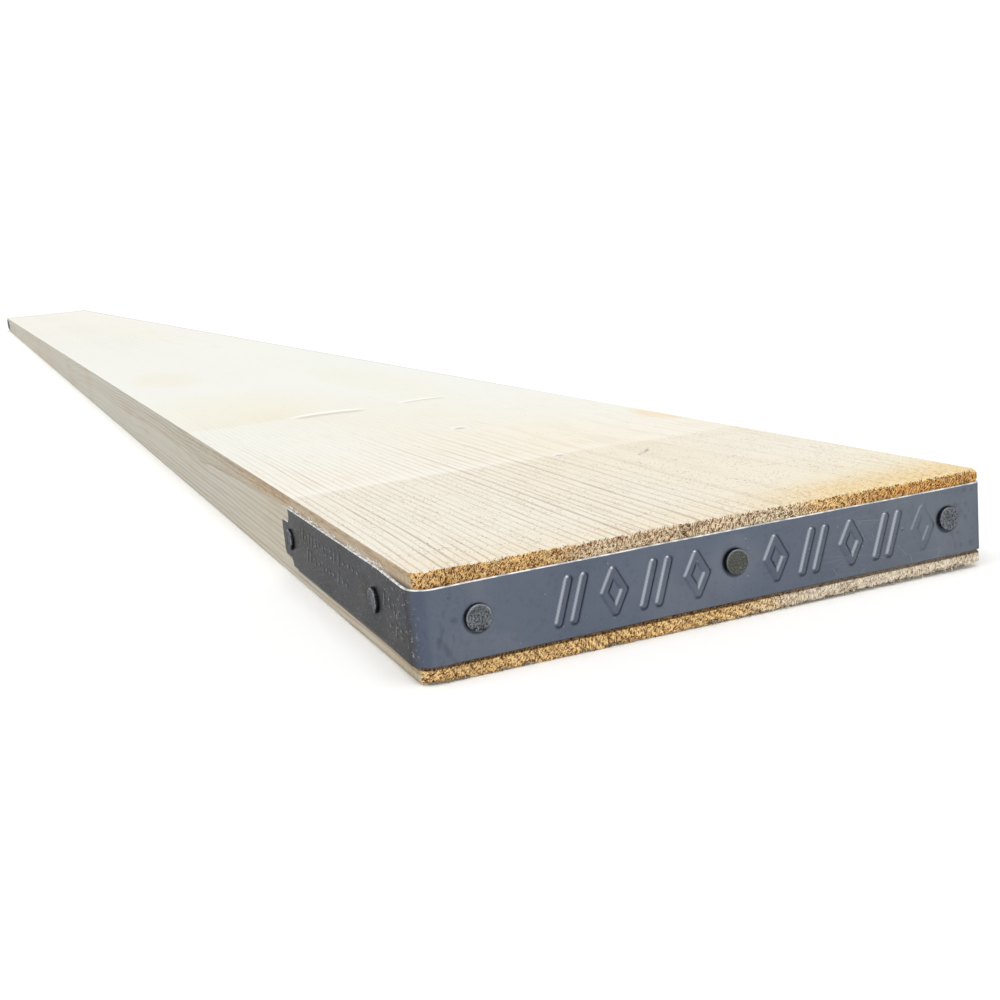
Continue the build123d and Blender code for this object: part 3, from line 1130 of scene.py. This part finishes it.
def band_relief(s, z):
    """The outer face's height over a flat strip, and what the material needs to know of it."""
    reach = np.abs(s)
    height, crown, foot = marks_relief(s, z - BAND_MIDDLE - strip_lift(-s))
    sunk, dimple_highlight, head_shadow = nails_relief(s, z)
    height -= sunk
    crown += dimple_highlight
    foot = np.maximum(foot, head_shadow)

    # Slow unevenness, and small dents where the strip was beaten round the corners
    places = np.stack([s, z, np.zeros(len(s))], 1)
    height += 0.07 * MM * lattice_noise(places, (19 * MM, 14 * MM, 1), 43)
    dented = smoothstep(FACE_HALF - 14 * MM, FACE_HALF - 5 * MM, reach)
    dented *= smoothstep(FACE_HALF + 4 * MM, FACE_HALF, reach)
    dent = np.maximum(0, lattice_noise(places, (1.3 * MM, 2.6 * MM, 1), 44))
    height -= 0.14 * MM * dented * dent
    # The dents are darkened too: painted shade in the hollows
    foot += 0.4 * dented * smoothstep(0.3, 0.8, dent)

    # The strip springs a little off the wood beside its bends, between the nails
    spring = smoothstep(FACE_HALF - 14 * MM, FACE_HALF + 2 * MM, reach)
    spring *= smoothstep(STRIP_FLAT_END + 34 * MM, STRIP_FLAT_END + 2 * MM, reach)
    height += np.where(s < 0, STAND_OFF, TIGHT_STAND_OFF) * spring
    return height, np.clip(crown, 0, 1.6), np.clip(foot, 0, 1.3)


def sheet_points(along, up_shares):
    """Every place on the strip at those lengths and those shares of its height."""
    low, high = strip_edges(along)
    plan, normal = strip_place(along)
    z = low[:, None] + (high - low)[:, None] * up_shares
    s = np.repeat(along, len(up_shares))
    plan, normal = (np.repeat(both, len(up_shares), axis=0) for both in (plan, normal))
    return s, z.ravel(), plan, normal


def sheet_faces(rows, columns, offset):
    """The quads of a sheet of points, and the number of each of its points."""
    index = offset + np.arange(rows * columns).reshape(rows, columns)
    corners = (index[:-1, :-1], index[1:, :-1], index[1:, 1:], index[:-1, 1:])
    return np.stack([corner.ravel() for corner in corners], 1).tolist(), index


def bridged(first, second, place_first, place_second):
    """Triangles between two runs of points, given each point's place along the run."""
    found = stitched(len(first), len(second), 0, len(first), place_first, place_second)
    both = np.concatenate([first, second])
    return both[np.array(found)].tolist()


def band_mesh():
    """The strip's closed shell: both faces and the cut edges, with a slot for each face."""
    tongue = joined(
        STRIP_SHOULDER + np.array([-0.05, 0.05, 0.15, 0.25, 0.6]) * MM,
        spaced(STRIP_SHOULDER + 0.6 * MM, STRIP_END - TONGUE_CORNER, 0.8 * MM),
        STRIP_END - TONGUE_CORNER + TONGUE_CORNER * np.sin(np.linspace(0, math.pi / 2, 10)),
    )
    leg = spaced(STRIP_FLAT_END, STRIP_SHOULDER - 0.1 * MM, 0.60 * MM)
    half = joined(spaced(FACE_HALF, STRIP_FLAT_END, 0.6 * MM), leg, tongue)
    face = joined(
        spaced(-FACE_HALF, MARKED_FROM, 0.6 * MM),
        spaced(MARKED_FROM, MARKED_TO, 0.37 * MM),
        spaced(MARKED_TO, FACE_HALF, 0.6 * MM),
    )
    along = joined(-half, face, half)
    up_shares = joined(np.linspace(0, 0.987, 63), [1.0])
    s, z, plan, normal = sheet_points(along, up_shares)
    height, crown, foot = band_relief(s, z)
    bevel = np.tile(up_shares == 1.0, len(along)) * BEVEL
    outer = np.column_stack([plan + normal * (height + BAND_THICKNESS - bevel)[:, None], z])

    coarse_leg = spaced(STRIP_FLAT_END, STRIP_SHOULDER - 0.1 * MM, 5 * MM)
    coarse_half = joined(spaced(FACE_HALF, STRIP_FLAT_END, 1.2 * MM), coarse_leg, tongue)
    coarse = joined(-coarse_half, spaced(-FACE_HALF, FACE_HALF, 5 * MM), coarse_half)
    coarse_shares = np.linspace(0, 1, 9)
    inner_s, inner_z, inner_plan, inner_normal = sheet_points(coarse, coarse_shares)
    spring = band_relief(inner_s, inner_z)[0]
    near_bend = smoothstep(30 * MM, 10 * MM, np.abs(np.abs(inner_s) - FACE_HALF - BEND_LENGTH / 2))
    lift = np.maximum(0, spring * near_bend) + 0.02 * MM
    inner = np.column_stack([inner_plan + inner_normal * lift[:, None], inner_z])

    outer_faces, outer_index = sheet_faces(len(along), len(up_shares), 0)
    inner_faces, inner_index = sheet_faces(len(coarse), len(coarse_shares), len(outer))
    rim = []
    for edge in (0, -1):
        rim += bridged(outer_index[:, edge], inner_index[:, edge], along, coarse)
        rim += bridged(outer_index[edge], inner_index[edge], up_shares, coarse_shares)
    upward = len(up_shares) - 1
    slots = [int(number % upward == upward - 1) for number in range(len(outer_faces))]
    slots += [0] * len(inner_faces) + [1] * len(rim)
    crowns = np.concatenate([crown, np.zeros(len(inner))])
    painted_shades = np.concatenate([foot, np.zeros(len(inner))])
    return np.concatenate([outer, inner]), outer_faces + inner_faces + rim, slots, crowns, painted_shades


def make_bands(steel, sheared_edge_highlight):
    vertices, faces, slots, crown, foot = band_mesh()
    for end, turn in (("near", 1.0), ("far", -1.0)):
        placed = vertices * np.array([turn, turn, 1.0])
        band = to_object(f"band_{end}", placed, faces, [steel, sheared_edge_highlight], slots, crown=crown, foot=foot)
        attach(band, "root")
        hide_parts(f"end_band_{end}")


DULL_GRAZING = (0.54, 0.54, 0.55)


def make_band_steel():
    """Galvanised strip gone dull, with painted highlights and painted shade on its marks and round its nails,
    and painted shade on its legs and bends.
    """
    steel = Surface("band_steel", roughness=0.5, metallic=0.9)
    steel.shader.inputs["Specular Tint"].default_value = (*DULL_GRAZING, 1)
    facing = steel.nx.abs()
    on_end = facing.rise(0.0, 0.95)
    # The legs get a darker, greyer base than the end face: painted shade on the legs
    steel.colour = steel.mix(on_end, (0.072, 0.073, 0.075), (0.124, 0.144, 0.186))
    # Darker where the strip turns round the bends: painted shade
    steel.cover(facing.rise(0.35, 0.70) * facing.rise(0.99, 0.85) * 0.6, (0.090, 0.106, 0.158))
    turned = steel.x * steel.y / HALF_LENGTH
    steel.cover(turned.rise(0.0, 0.09) * on_end * 0.55, (0.152, 0.166, 0.192))
    cloud = steel.noise(26.0, 3.0, 0.6, offset=1.0)
    steel.stain(cloud.rise(0.46, 0.68) * 0.7, (0.84, 0.86, 0.90))
    steel.cover(cloud.rise(0.48, 0.30) * 0.35, (0.185, 0.205, 0.235))
    grime = steel.noise(60.0, 3.0, 0.65, offset=4.0).rise(0.46, 0.66) * (1 - on_end)
    steel.stain(grime * 0.9, (0.80, 0.74, 0.60))
    grain = steel.noise(520.0, 3.0, 0.7, offset=2.0)
    steel.stain(grain.rise(0.50, 0.70) * (0.75 - on_end * 0.35), (0.72, 0.73, 0.75))

    # Bright and dark specks, and fine scratches where it has been rubbed
    bright = steel.spots(210.0, (1, 1, 1.3)).rise(0.075, 0.035)
    bright *= steel.noise(18.0, offset=5.0).rise(0.44, 0.58)
    steel.cover(bright * (0.80 - on_end * 0.40), (0.56, 0.58, 0.62))
    leg_speck = steel.noise(900.0, 1.0, 0.6, offset=14.0).rise(0.61, 0.70) * (1 - on_end)
    steel.cover(leg_speck * 0.6, (0.45, 0.46, 0.48))
    steel.cover(steel.spots(120.0, (1, 1.2, 1)).rise(0.05, 0.03) * 0.8, (0.030, 0.030, 0.034))
    scratch = steel.spots(55.0, (1, 1, 5), feature="DISTANCE_TO_EDGE").rise(0.012, 0.004)
    scratch *= steel.noise(14.0, offset=11.0).rise(0.54, 0.62)
    steel.cover(scratch * 0.20, (0.42, 0.44, 0.48))
    # Painted highlights on the marks' lit slopes and round the middle nail; the ticks are worn bright
    steel.cover(steel.attribute("crown") * 0.60, (0.62, 0.65, 0.70))
    # Painted shade on the marks' shaded slopes, beside the nail heads and in the dents
    steel.stain(steel.attribute("foot") * 0.75, (0.30, 0.30, 0.31))
    plug(steel.shader.inputs["Roughness"], 0.28 + cloud * 0.10 + grain * 0.08)
    return steel.finish(grain * 0.5 - scratch * 0.4 + cloud * 0.8, 0.1 * MM, 0.35)


def make_sheared_edge_highlight():
    """The strip's sheared edge: bare steel, painted brighter still as a highlight."""
    steel = Surface("band_sheared_edge_highlight", roughness=0.55, metallic=0.10)
    shear = steel.noise(300.0, 2.0, 0.6, (1, 1, 0.2), 3.0)
    steel.colour = steel.mix(shear.rise(0.35, 0.65), (0.40, 0.41, 0.42), (0.84, 0.84, 0.82))
    return steel.finish(shear, 0.1 * MM, 0.5)


# ---- Clout nails ----

HEAD_DEPTH = 1.3 * MM
SHANK_RADIUS = 1.5 * MM
POINT_LENGTH = 5 * MM
HEAD_EDGE = 0.45 * MM
HEAD_HEIGHT = 19.5 * MM
HEAD_TURNS = 56


def nail_profile():
    """Radius and depth below the head's face, from the middle of the face round to the point."""
    low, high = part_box("nail_near_face_left")
    length = max(high - low)
    face = [(r, 0.0) for r in np.linspace(0.0, HEAD_RADIUS - HEAD_EDGE, 16)[1:]]
    edge = []
    for angle in np.linspace(0, math.pi / 2, 5)[1:]:
        radius = HEAD_RADIUS - HEAD_EDGE * (1 - math.sin(angle))
        edge.append((radius, HEAD_EDGE * (1 - math.cos(angle))))
    bottom = [
        (HEAD_RADIUS, HEAD_DEPTH - 0.1 * MM),
        (HEAD_RADIUS - 0.15 * MM, HEAD_DEPTH),
        (SHANK_RADIUS, HEAD_DEPTH),
    ]
    shank = [(SHANK_RADIUS, length - POINT_LENGTH), (0.3 * MM, length)]
    return face + edge + bottom + shank


def nail_faces(rings):
    """The faces of a turned shape: one middle point, rings of points, and the tip."""
    last = 1 + (rings - 1) * HEAD_TURNS
    tip = last + HEAD_TURNS
    faces = []
    for turn in range(HEAD_TURNS):
        after = (turn + 1) % HEAD_TURNS
        faces.append((0, 1 + turn, 1 + after))
        for ring in range(rings - 1):
            a = 1 + ring * HEAD_TURNS
            b = a + HEAD_TURNS
            faces.append((a + turn, b + turn, b + after, a + after))
        faces.append((last + turn, tip, last + after))
    return faces


def nail_place(node):
    """The middle of a nail's head face, moved with its strip, and the way that the head faces."""
    low, high = (np.array(corner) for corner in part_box(node))
    axis = int(np.argmax(high - low))
    outward = np.zeros(3)
    outward[axis] = np.sign((low + high)[axis])
    head_face = (low + high) / 2
    head_face[axis] = high[axis] if outward[axis] > 0 else low[axis]
    head_face[2] += strip_lift(-np.sign(head_face[0]) * head_face[1])
    return head_face, outward


def make_nail(node, steel, seed):
    """One nail with a dished, pitted and slightly tilted head."""
    head_face, outward = nail_place(node)
    side = np.array([0, 0, 1.0])
    other = np.cross(outward, side)
    size = {"middle": 0.95, "right": 0.92}.get(node.split("_")[-1], 0.98)

    draw = np.random.default_rng(seed)
    tilt = draw.normal(0, 0.022, 2)
    profile = nail_profile()
    points = [head_face]
    for radius, depth in profile:
        for turn in range(HEAD_TURNS):
            angle = 2 * math.pi * turn / HEAD_TURNS
            around = side * math.cos(angle) + other * math.sin(angle)
            points.append(head_face + radius * size * around - outward * depth)
    points.append(head_face - outward * (profile[-1][1] + 0.1 * MM))
    points = np.array(points)
    depth = -(points - head_face) @ outward
    away = points - head_face
    flat = away - np.outer(away @ outward, outward)
    radius = np.linalg.norm(flat, axis=1)
    on_head = smoothstep(HEAD_DEPTH + 0.1 * MM, HEAD_DEPTH * 0.6, depth)
    on_face = smoothstep(0.5 * MM, 0.1 * MM, depth)
    pits = 0.6 * lattice_noise(points, 0.9 * MM, seed) + 0.4 * lattice_noise(points, 0.45 * MM, seed + 1)
    dish = 0.10 * MM * smoothstep(HEAD_RADIUS, 0, radius)
    sink = on_face * (0.09 * MM * pits - 0.10 * MM - dish)
    wobble = 1 + 0.012 * on_head * lattice_noise(points, 2.5 * MM, seed + 2)
    lean = on_head * ((flat @ side) * tilt[0] + (flat @ other) * tilt[1] - 0.06 * MM)
    points = head_face + flat * wobble[:, None] - np.outer(depth, outward) + np.outer(sink + lean, outward)

    ragged = 0.65 + 0.35 * lattice_noise(points, 1.6 * MM, seed + 3)
    # The rim is lighter on the side towards the light: a painted highlight
    lit = 0.55 + 0.45 * (flat @ side - 0.5 * flat @ other) / HEAD_RADIUS
    rim = smoothstep(HEAD_RADIUS - 0.9 * MM, HEAD_RADIUS - 0.4 * MM, radius) * on_face * ragged * lit
    # The head's side wall is darkened: painted shade
    wall = on_head * smoothstep(0.25 * MM, 0.55 * MM, depth)
    name = node.replace("nail", "clout")
    faces = nail_faces(len(profile))
    nail = to_object(name, points, faces, [steel], rim=np.clip(rim, 0, 1), wall=wall)
    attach(nail, "root")
    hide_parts(node)


def make_nail_steel():
    """Blackened steel with scale, darker blotches low on some heads, a painted highlight round the rim and
    painted shade on the side of the head.
    """
    steel = Surface("nail_steel", roughness=0.55, metallic=0.85)
    steel.shader.inputs["Specular Tint"].default_value = (*DULL_GRAZING, 1)
    scale = steel.noise(1500.0, 3.0, 0.75, offset=1.0)
    steel.colour = steel.mix(scale.rise(0.36, 0.62), (0.024, 0.026, 0.030), (0.200, 0.214, 0.238))
    steel.stain(steel.noise(300.0, offset=3.0).rise(0.50, 0.62) * 0.8, (0.55, 0.58, 0.56))
    olive = (steel.y - MIDDLE_NAIL_Y).abs().rise(8 * MM, 6 * MM)
    steel.cover(olive * 0.75, (0.070, 0.073, 0.052))
    # Painted highlight round the rim
    steel.cover(steel.attribute("rim") * 0.70, (0.46, 0.48, 0.52))
    # Darker blotches low on some heads
    low_on_head = (steel.z - HEAD_HEIGHT).rise(-1.2 * MM, -3.5 * MM)
    dark_low_patch = low_on_head * steel.noise(420.0, 2.0, 0.6, offset=9.0).rise(0.45, 0.55)
    steel.stain(dark_low_patch * steel.y.rise(0.05, 0.07) * 0.9, (0.16, 0.17, 0.20))
    glint = steel.noise(2600.0, 1.0, offset=6.0).rise(0.62, 0.72)
    steel.cover(glint * 0.6, (0.48, 0.50, 0.54))
    # Painted shade on the head's side wall
    steel.stain(steel.attribute("wall") * 0.9, (0.16, 0.16, 0.18))
    plug(steel.shader.inputs["Roughness"], 0.38 + scale * 0.2)
    return steel.finish(scale, 0.18 * MM, 0.8)


# ---- The scene ----

make_camera()
make_stage()
make_board(make_long_grain(), make_end_grain())
make_bands(make_band_steel(), make_sheared_edge_highlight())
nail_steel = make_nail_steel()
for number, nail_node in enumerate(sorted(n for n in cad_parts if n.startswith("nail"))):
    make_nail(nail_node, nail_steel, 100 + 10 * number)
